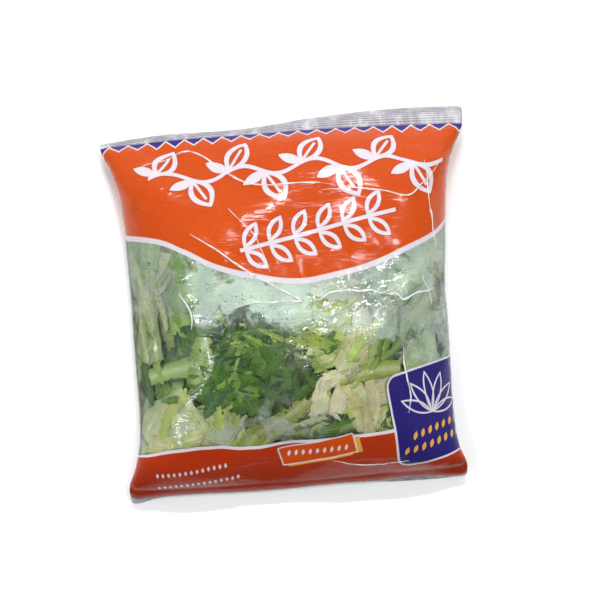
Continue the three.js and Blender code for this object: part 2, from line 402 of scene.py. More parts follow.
# The print, in film millimetres: u runs right from the left side fold over the front, and v up from the bottom edge.
FILM_MAP = "film_print"
MAP_SCALE = 2 * FLAT_WIDTH
SEAL_LINE_BOTTOM = SEAL_HEIGHT - 7
SEAL_LINE_TOP = FLAT_HEIGHT - SEAL_HEIGHT
RIB_PITCH = 1.9
ZIGZAG_PITCH, ZIGZAG_LOW = 13, 281
LABEL_MIDDLE = (230, 69)
RIBBON_MIDDLE, RIBBON_TURN = (139.5, 49), 13
HEADER_EDGE = [(0, 214), (35, 207.5), (55, 198), (79, 184.5), (103, 176.9), (133, 172.2), (154, 174.4), (180, 179.9),
               (207, 190.5), (231, 200.9), (250, 212)]
BAND_EDGE = [(0, 45), (19, 51.4), (44, 56.2), (65, 56.3), (95, 52.7), (127, 55.7), (167, 58.9), (194, 60.8), (250, 64)]
EDGE_LINE = 4.0
BAND_LINE = 2.6
FOG_EDGE = [(0, 156), (60, 147), (95, 142), (130, 139), (170, 132), (215, 108), (250, 100)]

# Finishes of the film. Colours are linear red, green and blue.
ORANGE = (0.50, 0.058, 0.003)
LIGHT_ORANGE = (0.56, 0.090, 0.005)
DEEP_ORANGE = (0.34, 0.020, 0.002)
WHITE_INK = (0.58, 0.535, 0.575)
VIOLET = (0.040, 0.018, 0.170)
NAVY = (0.016, 0.011, 0.125)
GOLD = (0.62, 0.30, 0.035)
CLEAR_GREY = (0.50, 0.48, 0.54)
FOG_COLOUR = (0.57, 0.73, 0.60)
FIN_GREY = (0.27, 0.24, 0.28)
# painted shade laid over the orange towards the bag's bottom edge
FOOT_PAINTED_SHADE = (0.20, 0.012, 0.001)


class Shade:
    """A number that changes over a surface: an output of a shader node, with the usual arithmetic."""

    def __init__(self, tree, socket):
        self.tree = tree
        self.socket = socket

    def calc(self, operation, *others, clamp=False):
        node = put(self.tree, "ShaderNodeMath", {"operation": operation, "use_clamp": clamp})
        for place, value in zip(node.inputs, (self, *others)):
            if isinstance(value, Shade):
                self.tree.links.new(value.socket, place)
            else:
                place.default_value = value
        return Shade(self.tree, node.outputs[0])

    __add__ = partialmethod(calc, "ADD")
    __sub__ = partialmethod(calc, "SUBTRACT")
    __mul__ = partialmethod(calc, "MULTIPLY")
    __truediv__ = partialmethod(calc, "DIVIDE")
    __abs__ = partialmethod(calc, "ABSOLUTE")
    least = partialmethod(calc, "MINIMUM")
    most = partialmethod(calc, "MAXIMUM")

    def __rsub__(self, other):
        return self * -1 + other

    def above(self, edge, soft=0.35):
        """1 above the edge and 0 below it, with a soft step between."""
        step = {"interpolation_type": "SMOOTHSTEP"}
        node = put(self.tree, "ShaderNodeMapRange", step, Value=self - edge, From_Min=-soft, From_Max=soft)
        return Shade(self.tree, node.outputs[0])

    def below(self, edge, soft=0.35):
        return 1 - self.above(edge, soft)

    def curve(self, points, low, high, value_low, value_high):
        """A smooth line through the points, as a function of this number."""
        node = put(self.tree, "ShaderNodeFloatCurve", Value=(self - low) / (high - low))
        curve = node.mapping.curves[0]
        scaled = [((x - low) / (high - low), (y - value_low) / (value_high - value_low)) for x, y in points]
        curve.points[0].location = scaled[0]
        curve.points[-1].location = scaled[-1]
        for point in scaled[1:-1]:
            curve.points.new(*point)
        node.mapping.update()
        return Shade(self.tree, node.outputs[0]) * (value_high - value_low) + value_low


def put(tree, kind, settings=None, **values):
    """Adds a node. A value is set on the input of its name, or linked to it if it comes from another node."""
    node = tree.nodes.new(kind)
    for name, value in (settings or {}).items():
        setattr(node, name, value)
    for name, value in values.items():
        place = node.inputs[name.replace("_", " ")]
        value = value.socket if isinstance(value, Shade) else value
        if isinstance(value, bpy.types.NodeSocket):
            tree.links.new(value, place)
        else:
            place.default_value = value
    return node


def length_of(x, y):
    return (x * x + y * y).calc("SQRT")


def turned(x, y, centre, degrees):
    """The same place, measured along and across a line through the centre."""
    turn = math.radians(degrees)
    x, y = x - centre[0], y - centre[1]
    along = x * math.cos(turn) + y * math.sin(turn)
    across = y * math.cos(turn) - x * math.sin(turn)
    return along, across


def rounded_box(x, y, half_width, half_height, radius):
    """Distance from the outline of a box with round corners, less than 0 inside."""
    over_x = (abs(x) - (half_width - radius)).most(0)
    over_y = (abs(y) - (half_height - radius)).most(0)
    return length_of(over_x, over_y) - radius


def leaf_outline(x, y, length, width):
    """About the distance from the outline of a pointed leaf that starts at 0 and runs along x, less than 0 inside."""
    share = (x / length * 2 - 1).most(-1).least(1)
    beyond = abs(x - length / 2) - length / 2
    return (abs(y) - (1 - share * share) * (width / 2)).most(beyond)


class Painter:
    """Lays colours over each other in a material."""

    def __init__(self, tree, colour):
        self.tree = tree
        self.colour = colour

    def lay(self, mask, colour):
        mix = {"data_type": "RGBA", "clamp_factor": True}
        under, over = ((*c, 1) if isinstance(c, tuple) else c for c in (self.colour, colour))
        self.colour = put(self.tree, "ShaderNodeMix", mix, Factor=mask, A=under, B=over).outputs["Result"]


def new_group(name, kind, inputs, outputs):
    """An empty group of nodes with named inputs and outputs."""
    tree = bpy.data.node_groups.new(name, kind)
    for in_out, sockets in (("INPUT", inputs), ("OUTPUT", outputs)):
        for key, socket in sockets.items():
            tree.interface.new_socket(key, in_out=in_out, socket_type="NodeSocket" + socket)
    return tree


def new_material(name):
    material = bpy.data.materials.new(name)
    material.use_nodes = True
    material.node_tree.nodes.clear()
    return material, material.node_tree


def finish(tree, **values):
    """Ends a material in one surface with the values."""
    surface = put(tree, "ShaderNodeBsdfPrincipled", **values)
    put(tree, "ShaderNodeOutputMaterial", Surface=surface.outputs[0])


def bumped(tree, height, strength):
    return put(tree, "ShaderNodeBump", Strength=strength, Distance=MM, Height=height).outputs[0]


def split(tree, vector):
    node = put(tree, "ShaderNodeSeparateXYZ", Vector=vector)
    return (Shade(tree, output) for output in node.outputs)


def on_object(tree):
    return tree.nodes.new("ShaderNodeTexCoord").outputs["Object"]


def noise(tree, vector, scale, detail=2.0, roughness=0.5, distortion=0.0):
    values = {"Scale": scale, "Detail": detail, "Roughness": roughness, "Distortion": distortion}
    return Shade(tree, put(tree, "ShaderNodeTexNoise", Vector=vector, **values).outputs["Fac"])


def stretched(tree, vector, scale, turn=0.0):
    return put(tree, "ShaderNodeMapping", Vector=vector, Scale=scale, Rotation=(0, 0, turn)).outputs["Vector"]


def garland(u, v):
    """A row of large white leaf outlines on a wavy stem, as wide as the bag's heading."""
    start, middle, pitch = 34.0, 252.0, 25.0
    stem = abs(v - middle - ((u - start) * (math.pi / pitch)).calc("SINE") * 5) - 1.7
    shape = stem.most(abs(u - 134) - 101)
    for offset, side in ((0.5, 1), (1.5, -1)):
        cell = (u - (start + pitch * offset)).calc("WRAP", pitch, -pitch)
        whole = abs(u - cell - 134) - 95
        along, across = turned(cell, (v - middle) * side, (-9, 2), 60)
        rim = abs(leaf_outline(along, across, 27, 17) + 1.9) - 1.9
        rib = (abs(across) - 1.0).most(abs(along - 10) - 10)
        along, across = turned(cell, (v - middle) * side, (-8, 2), 152)
        shape = shape.least(rim.least(rib).least(leaf_outline(along, across, 18, 8)).most(whole))
    return shape


def small_sprig(u, v):
    """White leaf outlines on a stem that rises to the right, below the heading."""
    along, across = turned(u, v, (94, 193), 12)
    shape = (abs(across) - 1.4).most(abs(along - 54) - 54)
    cell = (along - 8).calc("WRAP", 8.5, -8.5)
    whole = abs(along - cell - 50.5) - 45
    for side in (1, -1):
        reach, lift = turned(cell, across * side, (-5, 0.8), 52)
        outline = abs(leaf_outline(reach, lift, 20, 10) + 1.45) - 1.45
        shape = shape.least(outline.most(whole))
    return shape


def label_sprout(u, v):
    """Five thin leaf outlines that fan out from one point, on the label."""
    shape = None
    for lean, reach in ((97, 31), (68, 30), (126, 30), (40, 29), (154, 29), (14, 26)):
        along, across = turned(u, v, (227, 69), lean)
        outline = abs(leaf_outline(along, across, reach, 8.5) + 0.6) - 0.6
        shape = outline if shape is None else shape.least(outline)
    return shape.below(0, 0.25)


def grain_row(u, v, centre, half_width, lean, pitch=6.4, length=6.5, width=3.0):
    """A row of small slanting grains."""
    along, across = turned(u, v, centre, 8)
    cell = along.calc("WRAP", pitch / 2, -pitch / 2)
    reach, lift = turned(cell, across, (0, 0), lean)
    grain = leaf_outline(reach + length / 2, lift, length, width)
    return grain.most(abs(along) - half_width).below(0, 0.25)


def mist(tree, body, across, v):
    """Mist on the inside of the film, thinner lower down, with small drops in it."""
    fog_edge = across.curve(FOG_EDGE, 0, FLAT_WIDTH, 90, 160)
    drift = noise(tree, body, 34, 4, 0.62, 1.2)
    patches = noise(tree, body, 46, 3, 0.55, 0.8)
    high = (v + (drift - 0.5) * 60).above(fog_edge, 8)
    thick = v.above(140, 12) * (1 - (abs(across - 104) - 46).above(0, 12)) * 0.28
    high = high * (drift * 0.6 + 0.3 + thick) * (1 - patches.above(0.57, 0.05) * 0.6)
    high = high * (across.above(60, 40) * 0.35 + 0.65)
    low = v.below(92, 14) * v.above(52, 8) * across.below(150, 20) * patches.below(0.47, 0.08)
    haze = patches.below(0.45, 0.05) * v.above(76, 20) * across.below(150, 30)
    drops = put(tree, "ShaderNodeTexVoronoi", Vector=body, Scale=520)
    specks = Shade(tree, drops.outputs["Distance"]).below(0.22, 0.1) * noise(tree, body, 110, 2).above(0.5, 0.08)
    return high.most(low * 0.5).most(haze * 0.17) * (1 - specks * 0.75)


def orange_ink(tree, body, v, band):
    """The orange of the heading and the foot, slightly uneven; the foot darker, partly by print, partly as painted
    shade.
    """
    ink = Painter(tree, ORANGE)
    grain = noise(tree, stretched(tree, body, (1, 2.2, 1)), 300, 4, 0.65, 1.5)
    ink.lay(grain.above(0.52, 0.2) * 0.5, DEEP_ORANGE)
    ink.lay((1 - noise(tree, body, 14, 2)) * 0.4, LIGHT_ORANGE)
    # the foot band is laid darker: partly its darker print, partly painted shade where the foot slopes away from the
    # light
    ink.lay(band * 0.8, DEEP_ORANGE)
    # painted shade: the orange darkens towards the bottom edge, which turns down away from the light
    ink.lay(v.below(34, 14) * 0.6, FOOT_PAINTED_SHADE)
    return ink.colour


def lay_label(paint, u, v):
    """The violet label with its white rim, its sprout and two rows of grains. Returns where it lies."""
    label = rounded_box(*turned(u, v, LABEL_MIDDLE, 7), 35, 34, 6)
    paint.lay(label.below(1.6), WHITE_INK)
    paint.lay(label.below(0), NAVY)
    paint.lay(label_sprout(u, v) * label.below(-2), WHITE_INK)
    for place, half_width in (((229, 58), 21), ((229, 48), 28)):
        paint.lay(grain_row(u, v, place, half_width, 62), GOLD)
    return label.below(1.6)


def lay_ribbon(paint, u, v):
    """The small slanted ribbon with its gold back and a row of grains. Returns where it lies."""
    x, y = turned(u, v, RIBBON_MIDDLE, RIBBON_TURN)
    ribbon = rounded_box(x, y, 27, 7.4, 0.6)
    tail = rounded_box(*turned(u, v, (168, 53), RIBBON_TURN), 2.6, 6.6, 0.4)
    paint.lay(tail.below(0), GOLD)
    paint.lay((abs(y + 8.6) - 1.1).most(abs(x) - 24).below(0), GOLD)
    paint.lay(ribbon.below(1.0), WHITE_INK)
    paint.lay(ribbon.below(0), ORANGE)
    paint.lay(grain_row(u, v, RIBBON_MIDDLE, 22, 70, 5.2, 5.4, 2.2), WHITE_INK)
    return ribbon.below(1.0)


def seal_look(tree, body, ribs):
    """Bare film, pressed into fine ribs, with painted sheen along the ribs and streaks of painted glints and painted
    shade.
    """
    fin = Painter(tree, FIN_GREY)
    # painted sheen: lighter stripes along the ribs
    fin.lay(ribs.above(0.5, 0.4), (0.58, 0.58, 0.62))
    # stretched streaks of painted light: the darker ones are painted shade, the near-white ones painted glints
    painted_light_streaks = noise(tree, stretched(tree, body, (1, 0.22, 1)), 75, 4, 0.65)
    fin.lay(painted_light_streaks.above(0.54, 0.1) * 0.4, (0.20, 0.18, 0.25))
    fin.lay(painted_light_streaks.below(0.42, 0.1) * 0.6, (0.95, 0.95, 0.96))
    return fin.colour


def fine_creases(tree, body):
    """Sharp thin lines that run two ways over the film."""
    one, two = (
        noise(tree, stretched(tree, body, (1, stretch, 1), turn), scale, 3, 0.55, distortion)
        for stretch, turn, scale, distortion in ((4.5, 0.5, 26, 0.6), (4.0, -0.9, 34, 0.5))
    )
    return (1 - abs(one - 0.5) * 2).calc("POWER", 9) + (1 - abs(two - 0.5) * 2).calc("POWER", 9)


def film_finish():
    """Clear film with its print, the mist inside it, and the ribs pressed into its seals."""
    material, tree = new_material("printed_film")
    body = on_object(tree)
    place = tree.nodes.new("ShaderNodeUVMap")
    place.uv_map = FILM_MAP
    u, v, _ = split(tree, place.outputs["UV"])
    u, v = u * MAP_SCALE, v * MAP_SCALE
    across = u.least(MAP_SCALE - u)
    front = u.below(FLAT_WIDTH)

    header_edge = across.curve(HEADER_EDGE, 0, FLAT_WIDTH, 150, 230)
    band_edge = across.curve(BAND_EDGE, 0, FLAT_WIDTH, 40, 80)
    header, band = v.above(header_edge), v.below(band_edge)
    white_edge = v.above(header_edge - EDGE_LINE).most(v.below(band_edge + BAND_LINE))
    seals = v.above(SEAL_LINE_TOP).most(v.below(SEAL_LINE_BOTTOM))
    ribs = (v * (2 * math.pi / RIB_PITCH)).calc("SINE") * 0.5 + 0.5

    fog = mist(tree, body, across, v)
    paint = Painter(tree, CLEAR_GREY)
    paint.lay(fog, FOG_COLOUR)
    paint.lay(white_edge, WHITE_INK)
    paint.lay(header.most(band), orange_ink(tree, body, v, band))
    ornament = garland(u, v).least(small_sprig(u, v))
    paint.lay(ornament.below(0.9, 0.6) * front * header * 0.6, DEEP_ORANGE)
    paint.lay(ornament.below(0) * front * header, WHITE_INK)
    zigzag = (across / ZIGZAG_PITCH).calc("PINGPONG", 0.5) * ZIGZAG_PITCH + ZIGZAG_LOW
    paint.lay(v.above(zigzag), VIOLET)
    paint.lay(abs(v - zigzag).below(0.75, 0.25), WHITE_INK)
    label = lay_label(paint, u, v)
    for place, half_width in (((48, 38), 26), ((52, 25), 32)):
        paint.lay(grain_row(u, v, place, half_width, 80, 4.2, 4.4, 2.0) * band * front, WHITE_INK)
    printed = white_edge.most(label).most(lay_ribbon(paint, u, v))
    paint.lay(seals, seal_look(tree, body, ribs))

    shine = put(tree, "ShaderNodeFresnel", IOR=1.45)
    clear = Shade(tree, shine.outputs[0]) * 0.8 + 0.02
    opacity = clear.most(fog * 0.74).most(seals * 0.6)
    bare = (1 - fog * 1.4) * (1 - printed) * (1 - seals * 0.8)
    height = fine_creases(tree, body) * (0.2 - printed * 0.11)
    height = height + noise(tree, body, 240, 2) * 0.02 + ribs * seals * 0.35
    finish(tree, Base_Color=paint.colour, Alpha=opacity.most(printed * (1 - seals)),
           Metallic=bare.calc("MULTIPLY", 1, clamp=True),
           Roughness=fog * 0.05 + 0.07 + seals * 0.12 + printed * 0.03, Normal=bumped(tree, height, 0.8),
           IOR=1.5, Specular_IOR_Level=0.22, Coat_Weight=0.06, Coat_Roughness=0.04)
    return material


# The salad. Tints are linear red, green and blue.
TINTS = {
    "dark": (0.022, 0.085, 0.009),
    "teal": (0.060, 0.170, 0.070),
    "green": (0.085, 0.240, 0.022),
    "bright": (0.270, 0.520, 0.060),
    "yellow_green": (0.500, 0.640, 0.090),
    "pale_green": (0.520, 0.720, 0.270),
    "white_green": (0.760, 0.820, 0.460),
    "blue_pale": (0.560, 0.720, 0.520),
    "cream": (0.900, 0.860, 0.520),
    "straw": (0.820, 0.800, 0.400),
    "beige": (0.880, 0.780, 0.560),
    "olive": (0.440, 0.470, 0.110),
    "pink_white": (0.820, 0.720, 0.620),
    "veined": (0.600, 0.740, 0.190),
    "light": (0.420, 0.600, 0.150),
}

# Each leaf that lies against the film: kind, place of its middle across and up the film, heading in degrees,
# length, width, depth below the film, tint.
LEAVES = [
    ("endive", 21, 193, 63, 26, 18, 1.5, "bright"), ("romaine", 32, 180, -138, 42, 20, 2.5, "white_green"),
    ("lettuce", 61, 174, 80, 30, 27, 3, "green"), ("romaine", 73, 166, 72, 35, 34, 5, "blue_pale"),
    ("romaine", 15, 155, 80, 34, 24, 3, "white_green"), ("lettuce", 46, 154, 82, 32, 34, 3.5, "bright"),
    ("romaine", 10, 134, 107, 30, 18, 1.5, "pale_green"), ("endive", 14, 107, 105, 38, 20, 2.5, "dark"),
    ("endive", 46, 127, 41, 68, 34, 2.5, "teal"), ("romaine", 38, 114, 11, 45, 14, 1.5, "light"),
    ("lettuce", 62, 120, 76, 34, 18, 1, "light"), ("endive", 79, 113, 67, 48, 36, 2, "green"),
    ("endive", 101, 119, 134, 54, 40, 1.5, "dark"), ("endive", 117, 125, 30, 52, 38, 3, "dark"),
    ("endive", 102, 101, 107, 44, 38, 2, "teal"), ("endive", 114, 133, 152, 40, 26, 1, "teal"),
    ("endive", 119, 102, 46, 46, 34, 1.8, "dark"), ("endive", 66, 100, -32, 36, 32, 2.2, "green"),
    ("endive", 107, 112, -55, 38, 30, 0.9, "green"), ("romaine", 128, 127, -21, 55, 26, 1.5, "yellow_green"),
    ("romaine", 148, 141, 31, 41, 44, 3, "veined"), ("romaine", 169, 120, 53, 36, 25, 1, "straw"),
    ("romaine", 180, 106, 3, 46, 12, 1.2, "yellow_green"), ("lettuce", 190, 127, 71, 34, 30, 4, "teal"),
    ("lettuce", 220, 113, 30, 32, 26, 3, "pale_green"), ("rib", 143, 90, 79, 25, 15, 0.9, "cream"),
    ("rib", 153, 103, 19, 24, 13, 1.3, "cream"), ("rib", 157, 87, 68, 26, 18, 2, "cream"),
    ("rib", 174, 82, -69, 38, 11, 1.5, "cream"), ("rib", 166, 80, -72, 35, 12, 2.2, "straw"),
    ("rib", 178, 83, -89, 37, 9, 2.6, "straw"), ("romaine", 188, 92, 14, 26, 28, 4, "beige"),
    ("lettuce", 141, 65, 5, 52, 26, 2, "dark"), ("romaine", 188, 73, 27, 26, 30, 4, "veined"),
    ("romaine", 36, 76, 38, 48, 42, 2.5, "white_green"), ("rib", 39, 62, 8, 42, 15, 1.3, "straw"),
    ("romaine", 73, 72, 101, 34, 34, 1.8, "straw"), ("romaine", 77, 71, 57, 30, 18, 1.2, "white_green"),
    ("lettuce", 94, 61, 47, 19, 16, 1.6, "yellow_green"), ("rib", 116, 75, 34, 46, 14, 1.2, "olive"),
    ("romaine", 209, 171, 35, 40, 44, 4, "blue_pale"), ("romaine", 157, 160, 46, 32, 36, 4, "pink_white"),
    ("romaine", 114, 164, 12, 40, 38, 3, "blue_pale"), ("romaine", 220, 147, 37, 32, 36, 4, "pale_green"),
    ("endive", 110, 150, -12, 38, 20, 2.2, "teal"), ("rib", 173, 136, 91, 24, 16, 2.6, "pink_white"),
    # Small frilled leaves in the dark middle
    ("endive", 84, 128, 20, 26, 20, 0.8, "green"), ("endive", 97, 126, -35, 28, 20, 0.9, "bright"),
    ("endive", 112, 118, 75, 26, 22, 0.7, "green"), ("endive", 122, 112, 10, 30, 20, 0.8, "dark"),
    ("endive", 101, 110, 200, 28, 22, 0.7, "green"), ("endive", 90, 98, -70, 26, 20, 0.8, "bright"),
    ("endive", 108, 96, -20, 30, 22, 0.9, "dark"), ("endive", 126, 96, 30, 28, 20, 1.0, "green"),
    ("endive", 74, 104, 120, 28, 20, 0.8, "green"), ("endive", 118, 88, 250, 26, 18, 1.0, "dark"),
    ("endive", 96, 84, 160, 28, 20, 1.2, "green"), ("endive", 134, 108, -60, 28, 18, 1.1, "dark"),
    ("endive", 68, 90, 60, 24, 18, 1.0, "teal"), ("endive", 140, 124, 20, 30, 18, 1.4, "green"),
    # Shreds that sweep across the middle
    ("strip", 122, 131, -12, 78, 6, 1.0, "yellow_green"), ("strip", 118, 125, -18, 70, 4, 0.8, "bright"),
    ("strip", 126, 136, -22, 66, 5, 1.4, "green"), ("strip", 112, 135, -28, 58, 4, 1.0, "yellow_green"),
    ("strip", 134, 122, -6, 60, 5, 0.9, "light"), ("strip", 104, 130, -40, 44, 4, 0.8, "bright"),
    ("strip", 96, 138, 12, 50, 4, 1.1, "green"), ("strip", 140, 118, 8, 46, 5, 1.3, "yellow_green"),
    ("strip", 150, 112, 18, 40, 4, 0.9, "light"), ("strip", 88, 120, 70, 36, 6, 0.8, "light"),
    ("strip", 82, 106, 25, 30, 5, 0.8, "bright"), ("strip", 110, 92, 50, 34, 4, 1.2, "green"),
    # Shreds to the right of them
    ("strip", 168, 119, 57, 52, 10, 0.7, "veined"), ("strip", 177, 112, 62, 42, 7, 0.9, "light"),
    ("strip", 190, 122, 60, 44, 6, 1.2, "bright"), ("strip", 186, 129, 80, 38, 6, 1.2, "green"),
    ("strip", 199, 120, 40, 38, 6, 1.4, "bright"), ("strip", 150, 146, 38, 48, 9, 1.6, "veined"),
    ("strip", 142, 150, 58, 44, 8, 2.0, "yellow_green"), ("strip", 206, 140, 70, 40, 7, 2.0, "pale_green"),
    # Along the left side
    ("strip", 24, 172, 75, 46, 9, 1.0, "light"), ("strip", 18, 150, 95, 46, 10, 0.9, "white_green"),
    ("strip", 31, 160, 110, 38, 8, 0.9, "white_green"), ("strip", 12, 172, 85, 44, 8, 1.2, "veined"),
    ("strip", 22, 122, 100, 40, 8, 1.2, "light"), ("strip", 42, 186, 40, 36, 8, 1.2, "bright"),
    ("romaine", 26, 190, 70, 34, 18, 1.3, "pale_green"), ("endive", 50, 182, 80, 30, 20, 1.2, "bright"),
    ("lettuce", 50, 160, 100, 30, 22, 1.5, "bright"), ("romaine", 20, 140, 98, 40, 16, 1.2, "pale_green"),
    # Along the bottom
    ("strip", 36, 82, 60, 42, 10, 1.0, "veined"), ("strip", 73, 68, 95, 34, 10, 0.9, "veined"),
    ("strip", 82, 64, 70, 34, 9, 1.0, "yellow_green"), ("strip", 62, 70, 120, 34, 8, 1.0, "white_green"),
    ("strip", 30, 60, 6, 52, 8, 1.1, "veined"), ("strip", 118, 68, 30, 58, 10, 0.8, "straw"),
    ("strip", 128, 80, 38, 50, 8, 1.1, "light"), ("strip", 170, 82, -64, 46, 10, 0.7, "straw"),
    ("strip", 181, 80, -96, 40, 9, 1.0, "cream"), ("strip", 152, 76, 20, 40, 8, 1.5, "veined"),
    ("strip", 48, 96, 20, 40, 6, 1.0, "green"), ("strip", 146, 66, 4, 50, 8, 1.2, "green"),
]


SHEET_SMOOTHINGS = 3
DIP_SPREAD = 4
FOLD_MARGIN = 12.0
SEAL_MARGIN = SEAL_HEIGHT + 14
LEAST_GAP = 0.95
LEAST_ROOM = 0.4
MOST_CLEARANCE = 0.3
MOST_SHARE = 0.42
HARD_LIMIT = 0.8


class Inside:
    """The space inside the film. A place is how far across and up the film, and how deep below its front."""

    def __init__(self, smooth, crinkled):
        self.front, self.back = self.two_sheets(smooth)
        for _ in range(SHEET_SMOOTHINGS):
            for sheet in (self.front, self.back):
                sheet[:, 1:-1] = (sheet[:, :-2] + 2 * sheet[:, 1:-1] + sheet[:, 2:]) / 4
                sheet[1:-1] = (sheet[:-2] + 2 * sheet[1:-1] + sheet[2:]) / 4
        self.rows, self.fold = smooth.rows, smooth.fold
        front, back = self.two_sheets(crinkled)
        way = self.back - self.front
        way /= np.maximum(np.linalg.norm(way, axis=-1, keepdims=True), 1e-6)
        self.front_dip = ((front - self.front) * way).sum(-1, keepdims=True)
        self.back_dip = ((self.back - back) * way).sum(-1, keepdims=True)
        for dip in (self.front_dip, self.back_dip):
            for _ in range(DIP_SPREAD):
                dip[:, 1:-1] = np.maximum(dip[:, 1:-1], np.maximum(dip[:, :-2], dip[:, 2:]))
                dip[1:-1] = np.maximum(dip[1:-1], np.maximum(dip[:-2], dip[2:]))

    def two_sheets(self, film):
        grid = film.grid()
        return grid[:, :film.fold + 1].copy(), np.concatenate([grid[:, :1], grid[:, :film.fold - 1:-1]], 1)

    def sample(self, sheet, u, v):
        row = np.clip(v / FLAT_HEIGHT * self.rows, 0, self.rows - 1e-6)
        column = np.clip(u / FLAT_WIDTH * self.fold, 0, self.fold - 1e-6)
        return sampled(sheet, row, column)

    def point(self, u, v, depth, clearance, from_back, thick):
        """Where a place is. A leaf that would come through the film is pressed flat against it instead."""
        u = kept_within(u, FOLD_MARGIN, FLAT_WIDTH - FOLD_MARGIN)
        v = kept_within(v, SEAL_MARGIN, FLAT_HEIGHT - SEAL_MARGIN)
        front, back = self.sample(self.front, u, v), self.sample(self.back, u, v)
        room = np.linalg.norm(back - front, axis=-1)
        dips = [self.sample(dip, u, v)[..., 0] for dip in (self.front_dip, self.back_dip)]
        free = np.maximum(room - dips[0] - dips[1], LEAST_ROOM)
        wanted = np.minimum(clearance, room * MOST_CLEARANCE)
        near, far = (
            dip + np.minimum(np.maximum(wanted - dip, LEAST_GAP) + thick, free * MOST_SHARE)
            for dip in dips
        )
        depth = room - depth if from_back else depth
        depth = near + soft_floor(depth - near)
        depth = room - far - soft_floor(room - far - depth)
        lowest = near * HARD_LIMIT + dips[0] * (1 - HARD_LIMIT)
        highest = room - far * HARD_LIMIT - dips[1] * (1 - HARD_LIMIT)
        depth = np.clip(depth, lowest, highest)
        return front + (back - front) * (depth / room)[..., None]


def soft_floor(value, soft=0.5):
    """The value itself above 0, and eased towards 0 below."""
    return np.where(value > 0, value, soft * 0.3 * (1 - np.exp(np.minimum(value, 0) / soft)) * -1)


def kept_within(value, low, high, give=7.0):
    """Eases what lies beyond low or high to at most give beyond it."""
    under = low - give * (1 - np.exp(np.minimum(value - low, 0) / give))
    over = high + give * (1 - np.exp(np.minimum(high - value, 0) / give))
    return np.where(value < low, under, np.where(value > high, over, value))


def swing(turns):
    return np.sin(2 * math.pi * turns)


def bell(reach):
    return np.exp(-(reach ** 2))


def leaf_grid(along, across):
    """Shares of a leaf's length, and of its half width on either side."""
    return np.linspace(0, 1, along)[:, None], np.linspace(-1, 1, across)[None]


def endive_shape(length, width, draw):
    """A deeply toothed, ruffled leaf. Gives its points along, across and out of its plane, and its thickness."""
    s, t = leaf_grid(37, 11)
    teeth = max(3, round(length / 8.5))
    a, b, c, d, e = draw.random(5)
    beat = s * teeth + np.where(t < 0, a, b) + 0.32 * swing(1.6 * s + c) + 0.2 * np.sin(17 * s + 9 * d)
    spread = np.sin(math.pi * (0.05 + 0.87 * s)) ** 0.5 * (0.55 + 0.5 * s)
    depth = 0.42 + 0.3 * swing(1.3 * s + d + 0.4 * (t > 0))
    tooth = 0.8 * np.abs(np.cos(math.pi * beat)) ** 0.75 + 0.2 * np.abs(np.cos(3 * math.pi * beat))
    half = width / 2 * spread * (1 - depth * (1 - tooth))
    half = half * (1 + 0.2 * np.sin(2 * math.pi * (0.9 * s + e) + 2 * t))
    x = s * length + 0.42 * np.abs(t) ** 1.3 * half + 0.8 * np.sin(9 * s + 5 * t)
    ruffle = 3.6 * np.abs(t) ** 1.4 * np.sin(math.pi * beat + 2 * e)
    frill = 1.5 * np.abs(t) ** 2.5 * np.sin(2.6 * math.pi * beat + 5 * c)
    curl = draw.uniform(-3, 4) * (np.sin(math.pi * s) - 0.5) + draw.uniform(0, 3) * t ** 2
    thick = 0.34 + 1.3 * bell(t / 0.14) * (1 - 0.75 * s)
    return x, t * half, ruffle + frill + curl + 0.4 * np.sin(7 * c + 11 * s + 6 * t), thick


def lettuce_shape(length, width, draw):
    """A round soft leaf with a frilled edge and blisters between its veins."""
    s, t = leaf_grid(27, 13)
    a, b, c, d = draw.random(4)
    spread = np.sin(math.pi * (0.08 + 0.86 * s)) ** 0.42
    half = width / 2 * spread * (1 + 0.10 * swing(5 * s + a + 0.4 * (t > 0)))
    x = s * length + 1.6 * np.abs(t) ** 2 * swing(3 * s + b)
    ruffle = 2.8 * np.abs(t) ** 2 * swing(3.5 * s + c + 0.5 * (t > 0))
    frill = 1.3 * np.abs(t) ** 4 * swing(8.5 * s + d)
    blisters = 0.55 * swing(4.3 * s - 1.1 * np.abs(t) + a) * np.sin(3 * math.pi * t + b)
    curl = draw.uniform(-4, 4) * np.sin(math.pi * s) + draw.uniform(-1, 3) * t ** 2
    thick = 0.32 + 1.1 * bell(t / 0.12) * (1 - 0.8 * s)
    return x, t * half, ruffle + frill + blisters + curl, thick


def romaine_shape(length, width, draw):
    """A piece cut straight across a broad pale leaf, gently waved."""
    s, t = leaf_grid(21, 11)
    a, b, c, d = draw.random(4)
    half = width / 2 * (0.9 + 0.1 * swing(0.8 * s + a) + 0.04 * swing(3.1 * s + b + t))
    y = t * half
    x = s * length + draw.uniform(-0.35, 0.35) * y + 0.7 * np.sin(0.5 * y + 9 * c) * (2 * s - 1)
    wave = 1.6 * swing(0.7 * s + b) + 1.8 * t * swing(0.6 * s + c)
    edge = 1.5 * np.abs(t) ** 3 * swing(2.6 * s + d)
    blisters = 0.35 * swing(3.7 * s - np.abs(t) + d) * np.sin(4 * math.pi * t + a)
    thick = 0.36 + 1.2 * bell(t / 0.16) * (1 - 0.6 * s)
    return x, y, wave + edge + blisters, thick


def rib_shape(length, width, draw):
    """A piece of a leaf's thick white rib: hollow on one side, and ribbed along."""
    s, t = leaf_grid(17, 11)
    a, b, c = draw.random(3)
    half = width / 2 * (1 - 0.22 * s + 0.05 * swing(1.3 * s + a))
    y = t * half
    x = s * length + draw.uniform(-0.5, 0.5) * y + 0.5 * np.sin(1.1 * y + 9 * b) * (2 * s - 1)
    bow = draw.uniform(-1.5, 2.5) * np.sin(math.pi * s) - 0.09 * width * t ** 2
    ridges = 0.22 * np.cos(5 * math.pi * t) + 0.3 * swing(1.7 * s + c)
    thick = 0.5 + min(2.6, 0.17 * width) * (1 - t ** 2) + 0 * s
    return x, y, bow + ridges, thick


